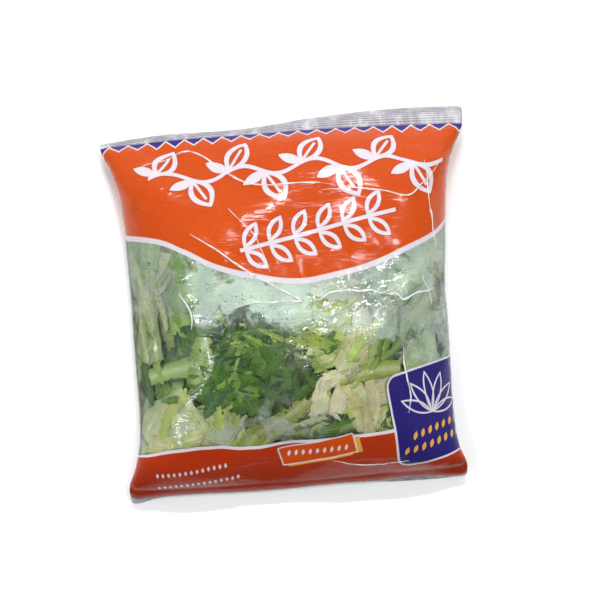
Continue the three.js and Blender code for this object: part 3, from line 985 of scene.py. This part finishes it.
def strip_shape(length, width, draw):
    """A narrow shred of leaf, folded along its middle and twisted."""
    s, t = leaf_grid(33, 7)
    a, b, c = draw.random(3)
    teeth = np.abs(np.sin(math.pi * (s * length / 6 + np.where(t < 0, a, b)))) ** 0.8
    half = width / 2 * np.sin(math.pi * (0.06 + 0.88 * s)) ** 0.4 * (0.62 + 0.5 * teeth)
    y = t * half
    fold = -0.22 * width * np.abs(t) * np.sin(math.pi * s + 0.3)
    twist = 0.7 * y * swing(0.8 * s + b)
    wave = 1.3 * swing(1.4 * s + c) + 0.5 * np.abs(t) ** 2 * swing(7 * s + a)
    thick = 0.3 + 0.3 * bell(t / 0.3) + 0 * s
    return s * length + 0.3 * y + 1.2 * np.abs(t) * half, y, fold + twist + wave, thick


# Each kind of leaf: its shape, how much of its own relief it keeps where the film presses on it, how far it bends
# in radians, the tint of its rib and how strongly that shows, the size of one that fills the bag, the share of those
# that are of this kind, the name of its piece, and its finish.
Kind = namedtuple("Kind", "shape relief bend rib_tint rib_share filler_size filler_share piece look")
KINDS = {
    "endive": Kind(endive_shape, 0.42, (0.08, 0.5), (0.20, 0.36, 0.07), 0.5, (50, 36), 0.28, "endive_leaves",
                   ("endive_leaf", 5.5, 0.9, 0.22, 0.36, 0.45)),
    "lettuce": Kind(lettuce_shape, 0.34, (0.08, 0.5), (0.62, 0.74, 0.34), 0.75, (42, 38), 0.20, "lettuce_leaves",
                    ("lettuce_leaf", 6.5, 0.8, 0.36, 0.34, 0.50)),
    "romaine": Kind(romaine_shape, 0.26, (0.08, 0.5), (0.80, 0.84, 0.52), 0.75, (44, 38), 0.24, "romaine_pieces",
                    ("romaine_leaf", 2.9, 0.12, 0.34, 0.30, 0.35, 1)),
    "rib": Kind(rib_shape, 0.45, (0.05, 0.4), (0.88, 0.86, 0.66), 0.5, (44, 15), 0.10, "rib_pieces",
                ("leaf_rib", 2.2, 0.0, 0.16, 0.28, 0.30, 1)),
    "strip": Kind(strip_shape, 0.45, (0.35, 1.1), (0.50, 0.66, 0.20), 0.3, (50, 9), 0.18, "leaf_shreds",
                  ("leaf_shred", 2.0, 0.05, 0.30, 0.30, 0.35, 1)),
}


def placed(name, data):
    """A new object in the scene."""
    thing = bpy.data.objects.new(name, data)
    bpy.context.collection.objects.link(thing)
    return thing


def plain_mesh(name, points, edges, faces):
    """A mesh of points in millimetres."""
    mesh = bpy.data.meshes.new(name)
    mesh.from_pydata((points * MM).tolist(), edges, faces)
    return mesh


def store(mesh, name, kind, values):
    """Gives each point of a mesh a value."""
    key = {"FLOAT": "value", "FLOAT_VECTOR": "vector", "FLOAT_COLOR": "color"}[kind]
    mesh.attributes.new(name, kind, "POINT").data.foreach_set(key, values.ravel())


def smooth_piece(name, mesh, material):
    mesh.polygons.foreach_set("use_smooth", [True] * len(mesh.polygons))
    mesh.materials.append(material)
    print(name, sum(len(face.vertices) - 2 for face in mesh.polygons), "triangles")
    return placed(name, mesh)


class Pile:
    """All the leaves of one kind, as one mesh of thin closed leaves."""

    def __init__(self, kind, inside):
        self.kind = kind
        self.inside = inside
        self.points, self.triangles, self.tints, self.places = [], [], [], []
        self.count = 0

    # shade is a darkening factor: painted shade for leaves that lie deeper in the pile
    def add(self, u, v, heading, length, width, depth, tint, seed, from_back=False, clearance=None, shade=1.0):
        draw = np.random.default_rng(seed)
        x, y, z, thick = self.kind.shape(length, width, draw)
        z = z * min(1.0, self.kind.relief + 0.08 * depth)
        bend = draw.choice([-1, 1]) * draw.uniform(*self.kind.bend) * min(1.0, length / 40) / length
        from_middle = x - length / 2
        sine, cosine = np.sin(bend * from_middle), np.cos(bend * from_middle)
        along = sine / bend - sine * y
        aside = (1 - cosine) / bend + cosine * y
        turn = math.radians(heading)
        leaf_u = u + math.cos(turn) * along - math.sin(turn) * aside
        leaf_v = v + math.sin(turn) * along + math.cos(turn) * aside
        if clearance is None:
            clearance = 0.5 + 0.4 * min(depth, 6)
        thick = np.broadcast_to(thick, x.shape)
        for side in (0, 1):
            below = depth - z + (2 * side - 1) * thick / 2
            sheet = self.inside.point(leaf_u, leaf_v, below, clearance, from_back, side * thick)
            self.points.append(sheet.reshape(-1, 3))
        rows, columns = x.shape
        self.add_faces(rows, columns, from_back)
        self.add_colours(x, y, width, tint, draw, shade)
        self.count += 2 * rows * columns

    def add_faces(self, rows, columns, from_back):
        number = np.arange(rows * columns).reshape(rows, columns) + self.count
        a, b, c, d = number[:-1, :-1], number[1:, :-1], number[1:, 1:], number[:-1, 1:]
        top = np.concatenate([np.stack([a, b, c], -1).reshape(-1, 3), np.stack([a, c, d], -1).reshape(-1, 3)])
        under = top[:, ::-1] + rows * columns
        rim = np.concatenate([number[:-1, 0], number[-1, :-1], number[:0:-1, -1], number[0, :0:-1]])
        after = np.roll(rim, -1)
        low, low_after = rim + rows * columns, after + rows * columns
        wall = np.concatenate([np.stack([rim, low, low_after], -1), np.stack([rim, low_after, after], -1)])
        faces = np.concatenate([top, under, wall])
        self.triangles.append(faces[:, ::-1] if from_back else faces)

    def add_colours(self, x, y, width, tint, draw, painted_shade):
        base = np.array(TINTS[tint]) * draw.uniform(0.82, 1.18) * draw.uniform(0.94, 1.06, 3)
        rib = self.kind.rib_share * np.exp(-((y / (0.11 * width + 0.6)) ** 2))[..., None]
        shade = base * (1 - rib) + np.array(self.kind.rib_tint) * rib
        # painted_shade darkens leaves that lie deeper in the pile
        shade = shade * (1.06 - 0.22 * np.abs(y / width * 2)[..., None]) * painted_shade
        place = np.stack([x, np.abs(y), np.full_like(x, draw.random() * 50)], -1)
        self.tints += 2 * [shade.reshape(-1, 3)]
        self.places += 2 * [place.reshape(-1, 3)]

    def made(self, look):
        mesh = plain_mesh(self.kind.piece, np.concatenate(self.points), [], np.concatenate(self.triangles).tolist())
        tints = np.concatenate(self.tints)
        store(mesh, "tint", "FLOAT_COLOR", np.concatenate([tints, np.ones((len(tints), 1))], 1))
        store(mesh, "leaf_place", "FLOAT_VECTOR", np.concatenate(self.places))
        return smooth_piece(self.kind.piece, mesh, leaf_finish(look, *self.kind.look))


def leaf_look():
    """Nodes that every kind of leaf shares: veins that branch off its rib or run along it, and fine blisters."""
    values = ("Vein gap", "Vein lean", "Vein strength", "Gloss", "Bumps", "Lengthwise")
    inputs = {"Tint": "Color", "Place": "Vector", **dict.fromkeys(values, "Float")}
    outputs = {"Colour": "Color", "Roughness": "Float", "Height": "Float"}
    tree = new_group("leaf_look", "ShaderNodeTree", inputs, outputs)
    start = tree.nodes.new("NodeGroupInput").outputs
    tint, place = start["Tint"], start["Place"]
    gap, lean, strength, gloss, bumps, lengthwise = (Shade(tree, start[key]) for key in values)
    along, aside, own = split(tree, place)
    drawn = (aside - along * lean) * lengthwise + (along - aside * lean) * (1 - lengthwise)
    run = (drawn + noise(tree, place, 0.25, 2) * 2.5 + own).calc("WRAP", gap * 0.5, gap * -0.5)
    veins = abs(run).below(0.28, 0.3)
    net = put(tree, "ShaderNodeTexVoronoi", {"feature": "DISTANCE_TO_EDGE"}, Vector=place, Scale=0.55)
    fine = Shade(tree, net.outputs["Distance"]).below(0.07, 0.07)
    mottle = noise(tree, place, 0.16, 3, 0.6)
    darken = {"data_type": "RGBA", "blend_type": "MULTIPLY"}
    darker = put(tree, "ShaderNodeMix", darken, Factor=1, A=tint, B=(0.45, 0.62, 0.42, 1))
    paint = Painter(tree, tint)
    paint.lay(mottle.above(0.5, 0.25) * 0.55, darker.outputs["Result"])
    paint.lay(veins * strength + fine * strength * 0.35, (0.62, 0.68, 0.36))
    height = (1 - veins) * 0.3 + noise(tree, place, 0.8, 3) * bumps + (1 - fine) * 0.12
    put(tree, "NodeGroupOutput", Colour=paint.colour, Roughness=mottle * 0.25 + gloss, Height=height)
    return tree


def leaf_finish(look, name, vein_gap, vein_lean, vein_strength, gloss, bumps, lengthwise=0):
    """A leaf of its own tint, with the look that all leaves share."""
    material, tree = new_material(name)
    tint, place = (
        put(tree, "ShaderNodeAttribute", {"attribute_name": attribute}).outputs[output]
        for attribute, output in (("tint", "Color"), ("leaf_place", "Vector"))
    )
    group = put(tree, "ShaderNodeGroup", {"node_tree": look}, Tint=tint, Place=place, Vein_gap=vein_gap,
                Vein_lean=vein_lean, Vein_strength=vein_strength, Gloss=gloss, Bumps=bumps, Lengthwise=lengthwise)
    colour, roughness, height = group.outputs
    finish(tree, Base_Color=colour, Roughness=roughness, Normal=bumped(tree, height, 0.9), Subsurface_Weight=0.25,
           Subsurface_Radius=(0.6, 1.0, 0.25), Subsurface_Scale=0.0012, Specular_IOR_Level=0.3, Coat_Weight=0.04)
    return material


# Leaves that fill the bag behind those: how many, least and most depth, from the back or not.
FILLERS = [(70, 4.5, 9, False), (60, 10, 20, False), (60, 3, 10, True), (46, 1, 3, True)]
FILL_LOW, FILL_HIGH = 34.0, 236.0
# painted shade: leaves deeper in the pile are tinted darker
FILLER_PAINTED_SHADE = 0.72
FILLER_MARGIN = 14.0
FIRST_SEED = 100
PILE_SEED = 7
PALE_ABOVE, OLIVE_BELOW = 146.0, 90.0
GOLDEN_SHARE = 0.618034
GREEN_HEART = (98.0, 116.0, 62.0)


def filler_tint(kind, u, v, draw):
    """Darker greens in the middle of the pile, paler ones round it."""
    if kind == "rib":
        return draw.choice(["cream", "straw", "light"])
    if math.hypot(u - GREEN_HEART[0], (v - GREEN_HEART[1]) * 1.5) < GREEN_HEART[2]:
        return draw.choice(["dark", "teal", "green", "green"])
    if kind == "romaine" or v > PALE_ABOVE:
        return draw.choice(["pale_green", "blue_pale", "white_green", "bright", "veined"])
    if v > OLIVE_BELOW:
        return draw.choice(["green", "bright", "pale_green", "teal"])
    return draw.choice(["bright", "olive", "veined", "green"])


def salad(inside):
    """The leaves: those seen against the film one by one, and the rest of the pile behind them."""
    piles = {name: Pile(kind, inside) for name, kind in KINDS.items()}
    for number, (kind, *rest) in enumerate(LEAVES):
        piles[kind].add(*rest, seed=FIRST_SEED + number)
    draw = np.random.default_rng(PILE_SEED)
    kinds, shares = list(KINDS), [kind.filler_share for kind in KINDS.values()]
    for count, least, most, from_back in FILLERS:
        clearance = 0.5 + 0.35 * least if from_back else 2.2
        for number in range(count):
            kind = draw.choice(kinds, p=shares)
            u = FILLER_MARGIN + (FLAT_WIDTH - 2 * FILLER_MARGIN) * ((number * GOLDEN_SHARE) % 1)
            v = FILL_LOW + (FILL_HIGH - FILL_LOW) * (number + draw.random()) / count
            size = draw.uniform(0.85, 1.2)
            length, width = (size * side for side in KINDS[kind].filler_size)
            depth = draw.uniform(least, most)
            tint = filler_tint(kind, u, v, draw)
            heading, seed = draw.uniform(0, 360), int(draw.integers(1 << 30))
            piles[kind].add(u, v, heading, length, width, depth, tint, seed, from_back, clearance, FILLER_PAINTED_SHADE)
    look = leaf_look()
    return [pile.made(look) for pile in piles.values()]


def film_piece(film, material):
    """The film as one closed sheet round the leaves, with the print's place on it."""
    rows, columns, fold = film.rows, film.columns, film.fold
    faces, uvs = [], []

    def add_face(corners, turned_in=False):
        faces.append([int(film.at(row, column)) for row, column in corners])
        for row, column in corners:
            column = min(column, columns - column) if turned_in else column
            uvs.append((column / columns, row / rows * FLAT_HEIGHT / MAP_SCALE))

    for row in range(rows):
        for column in range(columns):
            add_face([(row, column), (row, column + 1), (row + 1, column + 1), (row + 1, column)])
    for row in (0, rows):
        for column in range(0, fold):
            corners = [(row, columns - column), (row, columns - column - 1), (row, column + 1), (row, column)]
            if row:
                corners.reverse()
            at_points = {}
            for corner in corners:  # at a side fold two corners are one point
                at_points.setdefault(film.at(*corner), corner)
            add_face(at_points.values(), turned_in=True)
    mesh = plain_mesh("film", film.points, [], faces)
    mesh.uv_layers.new(name=FILM_MAP).uv.foreach_set("vector", np.array(uvs, np.float32).ravel())
    return smooth_piece("film", mesh, material)


def nodes_of(name, inputs):
    """An empty Geometry Nodes tree with named inputs, those inputs, and a way to add nodes to it."""
    shape = {"Geometry": "Geometry"}
    tree = new_group(name, "GeometryNodeTree", {**shape, **inputs}, shape)
    return tree, tree.nodes.new("NodeGroupInput").outputs, partial(put, tree)


def end_nodes(add, shape, material):
    """Ends a Geometry Nodes tree in real geometry of one material."""
    real = add("GeometryNodeRealizeInstances", Geometry=shape)
    finished = add("GeometryNodeSetMaterial", Geometry=real.outputs[0], Material=material)
    add("NodeGroupOutput", Geometry=finished.outputs[0])


def drop_maker():
    """Small water drops strewn over a sheet, thickest where it is wettest."""
    inputs = {"Drops per square metre": "Float", "Least size": "Float", "Most size": "Float", "Water": "Material"}
    tree, start, add = nodes_of("water_drops", inputs)
    wet = Shade(tree, add("GeometryNodeInputNamedAttribute", Name="wet").outputs["Attribute"])
    often = wet * Shade(tree, start["Drops per square metre"])
    strewn = add("GeometryNodeDistributePointsOnFaces", Mesh=start["Geometry"], Density=often, Seed=4).outputs
    size = add("FunctionNodeRandomValue", Min=start["Least size"], Max=start["Most size"], Seed=9)
    across = Shade(tree, size.outputs["Value"])
    scale = add("ShaderNodeCombineXYZ", X=across, Y=across, Z=across * 0.5)
    ball = add("GeometryNodeMeshIcoSphere", Radius=0.5, Subdivisions=2)
    drop = add("GeometryNodeSetShadeSmooth", Geometry=ball.outputs["Mesh"])
    drops = add("GeometryNodeInstanceOnPoints", Points=strewn["Points"], Instance=drop.outputs[0],
                Rotation=strewn["Rotation"], Scale=scale.outputs[0])
    end_nodes(add, drops.outputs[0], start["Water"])
    return tree


def ridge_maker():
    """A pinched fold of film along each line: a low pointed ridge that tapers to its ends."""
    tree, start, add = nodes_of("pinched_fold", {"Width": "Float", "Height": "Float", "Film": "Material"})
    width, height = Shade(tree, start["Width"]), Shade(tree, start["Height"])
    left, right = (add("ShaderNodeCombineXYZ", X=width * share) for share in (-0.5, 0.5))
    top = add("ShaderNodeCombineXYZ", Y=height * -2)  # the profile's Y points down on an upright line
    profile = add("GeometryNodeCurveQuadraticBezier", Resolution=4, Start=left.outputs[0], Middle=top.outputs[0],
                  End=right.outputs[0])
    closed = add("GeometryNodeSetSplineCyclic", Geometry=profile.outputs[0], Cyclic=True)
    line = add("GeometryNodeMeshToCurve", Mesh=start["Geometry"])
    upright = add("GeometryNodeSetCurveNormal", {"mode": "Z_UP"}, Curve=line.outputs[0])
    taper = add("GeometryNodeInputNamedAttribute", Name="taper").outputs["Attribute"]
    sized = add("GeometryNodeSetCurveRadius", Curve=upright.outputs[0], Radius=taper)
    swept = add("GeometryNodeCurveToMesh", Curve=sized.outputs[0], Profile_Curve=closed.outputs[0], Scale=taper,
                Fill_Caps=True)
    end_nodes(add, swept.outputs[0], start["Film"])
    return tree


def made_by(tree, name, mesh, values):
    """Runs a Geometry Nodes tree on a mesh and returns the result as a plain piece."""
    start = placed(name + "_start", mesh)
    modifier = start.modifiers.new("maker", "NODES")
    modifier.node_group = tree
    sockets = {item.name: item.identifier for item in tree.interface.items_tree if item.in_out == "INPUT"}
    for key, value in values.items():
        modifier[sockets[key]] = value
    made = bpy.data.meshes.new_from_object(start.evaluated_get(bpy.context.evaluated_depsgraph_get()))
    start.modifiers.remove(modifier)
    bpy.data.objects.remove(start)
    print(name, len(made.polygons), "faces")
    return placed(name, made)


def surface_place(film, u, v):
    """Where a place on the front of the film is, and the way out of the bag there."""
    grid = film.grid()[:, :film.fold + 1]
    column = np.clip(np.asarray(u) / FLAT_WIDTH * film.fold, 1, film.fold - 1.001)
    row = np.clip(np.asarray(v) / FLAT_HEIGHT * film.rows, 1, film.rows - 1.001)
    i, j = row.astype(int), column.astype(int)
    out = np.cross(grid[i, j + 1] - grid[i, j - 1], grid[i + 1, j] - grid[i - 1, j])
    return sampled(grid, row, column), out / np.linalg.norm(out, axis=1, keepdims=True)


DROPS_FROM, DROPS_TO = 118.0, 214.0
DROPS_PER_SQUARE_METRE = 420000.0
DROP_LEAST, DROP_MOST = 0.35, 1.0
DROP_DEPTH = 0.3


def water_finish():
    """A drop of water over pale mist, painted dark green with a darker rim as painted shade for the leaves seen through
    it.
    """
    material, tree = new_material("water_drop")
    # dark green: painted shade for the darker leaves seen through the clear drop
    paint = Painter(tree, (0.05, 0.09, 0.04))
    paint.lay(noise(tree, on_object(tree), 300, 1), (0.16, 0.22, 0.10))
    # more opaque at the rim: a painted dark edge where the drop bends the light
    rim = Shade(tree, put(tree, "ShaderNodeLayerWeight", Blend=0.35).outputs["Facing"])
    finish(tree, Base_Color=paint.colour, Alpha=rim * 0.5 + 0.3, Roughness=0.05, IOR=1.33)
    return material


def water_drops(film):
    """Drops on the inside of the front film, in the mist under the heading."""
    rows = np.arange(int(DROPS_FROM / FLAT_HEIGHT * film.rows), int(DROPS_TO / FLAT_HEIGHT * film.rows))
    columns = np.arange(int(0.05 * film.fold), int(0.95 * film.fold))
    row, column = np.meshgrid(rows, columns, indexing="ij")
    u, v = column / film.fold * FLAT_WIDTH, row / film.rows * FLAT_HEIGHT
    surface, out = surface_place(film, u.ravel(), v.ravel())
    wet = np.clip(ripples(u, v, 30, 60) * 1.2 - 0.1, 0, 1) ** 1.5 + 0.12
    wet *= np.clip((v - DROPS_FROM) / 12, 0, 1)
    wet *= np.clip((np.interp(u, *np.transpose(HEADER_EDGE)) - EDGE_LINE - v) / 3, 0, 1)
    number = np.arange(row.size).reshape(row.shape)
    tiles = np.stack([number[:-1, :-1], number[:-1, 1:], number[1:, 1:], number[1:, :-1]], -1).reshape(-1, 4)
    mesh = plain_mesh("misted_film", surface - out * DROP_DEPTH, [], tiles.tolist())
    store(mesh, "wet", "FLOAT", wet)
    values = {"Drops per square metre": DROPS_PER_SQUARE_METRE, "Least size": DROP_LEAST * MM,
              "Most size": DROP_MOST * MM, "Water": water_finish()}
    return made_by(drop_maker(), "water_drops", mesh, values)


FOLD_WIDTH, FOLD_HEIGHT = 1.7, 0.7
FOLD_WOBBLE = 0.35


def fold_highlight_finish():
    """Film along a sharp fold, painted near white: partly the whitening the fold gives the film, partly a painted
    highlight.
    """
    material, tree = new_material("painted_fold_highlight")
    broken = noise(tree, on_object(tree), 150, 3, 0.6)
    # near-white colour: painted highlight along the fold
    paint = Painter(tree, (0.80, 0.78, 0.76))
    paint.lay(broken, (0.95, 0.95, 0.95))
    finish(tree, Base_Color=paint.colour, Alpha=broken.above(0.40, 0.2) * 0.6 + 0.22, Roughness=0.2,
           Specular_IOR_Level=0.9, Coat_Weight=0.8)
    return material


def smooth_line(points, step=1.0):
    """Evenly spaced places on a smooth line through the points."""
    points = np.array(points, float)
    padded = np.concatenate([[2 * points[0] - points[1]], points, [2 * points[-1] - points[-2]]])
    out = []
    for a, b, c, d in zip(padded, padded[1:], padded[2:], padded[3:]):
        t = np.arange(0, 1, step / max(np.hypot(*(c - b)), step))[:, None]
        out.append(b + 0.5 * t * (c - a + t * (2 * a - 5 * b + 4 * c - d + t * (3 * (b - c) + d - a))))
    return np.concatenate([*out, points[-1:]])


def pinched_folds(film):
    """The sharp folds on the front of the film."""
    points, edges, taper = [], [], []
    for number, (tall, _, line) in enumerate(CREASES):
        u, v = smooth_line(line).T
        u, v = u + FOLD_WOBBLE * ripples(u, v, 26, 7 + number), v + FOLD_WOBBLE * ripples(u, v, 24, 30 + number)
        surface, out = surface_place(film, u, v)
        rise = np.sin(math.pi * np.linspace(0, 1, len(u))) ** 0.5
        taper.append(tall * rise * (0.75 + 0.25 * ripples(u, v, 15, 50 + number)) + 0.05)
        first = sum(map(len, points))
        edges += [(first + i, first + i + 1) for i in range(len(u) - 1)]
        points.append(surface + out * 0.02)
    mesh = plain_mesh("fold_lines", np.concatenate(points), edges, [])
    store(mesh, "taper", "FLOAT", np.concatenate(taper))
    # the folds are given the painted highlight finish
    values = {"Width": FOLD_WIDTH * MM, "Height": FOLD_HEIGHT * MM, "Film": fold_highlight_finish()}
    return made_by(ridge_maker(), "film_folds", mesh, values)


# The camera looks straight down. These put the bag where the photograph's frame has it.
CAMERA_HEIGHT = 0.9061
CAMERA_ROLL = 3.368
CAMERA_SHIFT = (0.0140, 0.0084)
CAMERA_LENS = 75.0


def make_camera():
    data = bpy.data.cameras.new("camera")
    data.lens = CAMERA_LENS
    data.sensor_width = 36
    data.shift_x, data.shift_y = CAMERA_SHIFT
    camera = placed("camera", data)
    camera.location = (0, 0, CAMERA_HEIGHT)
    camera.rotation_euler = (0, 0, -math.radians(CAMERA_ROLL))
    bpy.context.scene.camera = camera


# Each lamp: where it is, how wide and high, and its power in watts. All point at the bag.
LAMPS = {
    "key_light": ((-0.9, -0.5, 1.3), (0.35, 0.35), 5.5),
    "long_lamp": ((0.03, 1.16, 1.29), (0.5, 0.045), 15.0),
    "near_lamp": ((0.29, 0.21, 1.32), (0.35, 0.02), 3.6),
    "soft_light": ((0.9, 1.5, 1.2), (2.5, 2.5), 5.0),
    "lamp_left": ((-0.85, 0.0, 1.05), (0.03, 0.22), 2.4),
    "lamp_right": ((0.60, 0.15, 1.0), (0.03, 0.22), 2.4),
}
LAMPS_TARGET = Vector((0, 0, 0.03))
FLOOR_REACH = 4.0


def make_lamp(name, place, size, power):
    data = bpy.data.lights.new(name, "AREA")
    data.shape = "RECTANGLE"
    data.size, data.size_y = size
    data.energy = power
    lamp = placed(name, data)
    lamp.location = place
    lamp.rotation_euler = (LAMPS_TARGET - Vector(place)).to_track_quat("-Z", "Y").to_euler()


def make_floor():
    mesh = bpy.data.meshes.new("floor")
    corners = [(x * FLOOR_REACH, y * FLOOR_REACH, 0) for x, y in ((-1, -1), (1, -1), (1, 1), (-1, 1))]
    mesh.from_pydata(corners, [], [(0, 1, 2, 3)])
    material, tree = new_material("pale_floor")
    finish(tree, Base_Color=(0.93, 0.93, 0.93, 1), Roughness=0.9)
    mesh.materials.append(material)
    floor = placed("floor", mesh)
    floor.location.z = -0.0006


def make_studio():
    """A pale floor, soft light from all round, a soft main light from beyond the bag's top, and small lamps."""
    make_floor()
    world = bpy.data.worlds.new("studio")
    world.use_nodes = True
    tree = world.node_tree
    _, beyond, height = split(tree, tree.nodes.new("ShaderNodeTexCoord").outputs["Generated"])
    strength = beyond * 0.30 + 0.62 - height.most(0) * 0.36
    background = tree.nodes["Background"]
    background.inputs["Color"].default_value = (0.96, 0.98, 1.0, 1)
    tree.links.new(strength.most(0.08).socket, background.inputs["Strength"])
    bpy.context.scene.world = world
    bpy.context.scene.view_settings.view_transform = "Standard"
    for name, lamp in LAMPS.items():
        make_lamp(name, *lamp)


def make_bag():
    inside = Inside(smooth_film, film)
    pieces = [film_piece(film, film_finish()), pinched_folds(film), water_drops(film), *salad(inside)]
    for piece in pieces:
        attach(piece, "root")
        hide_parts("salad_bag")


make_camera()
make_studio()
make_bag()
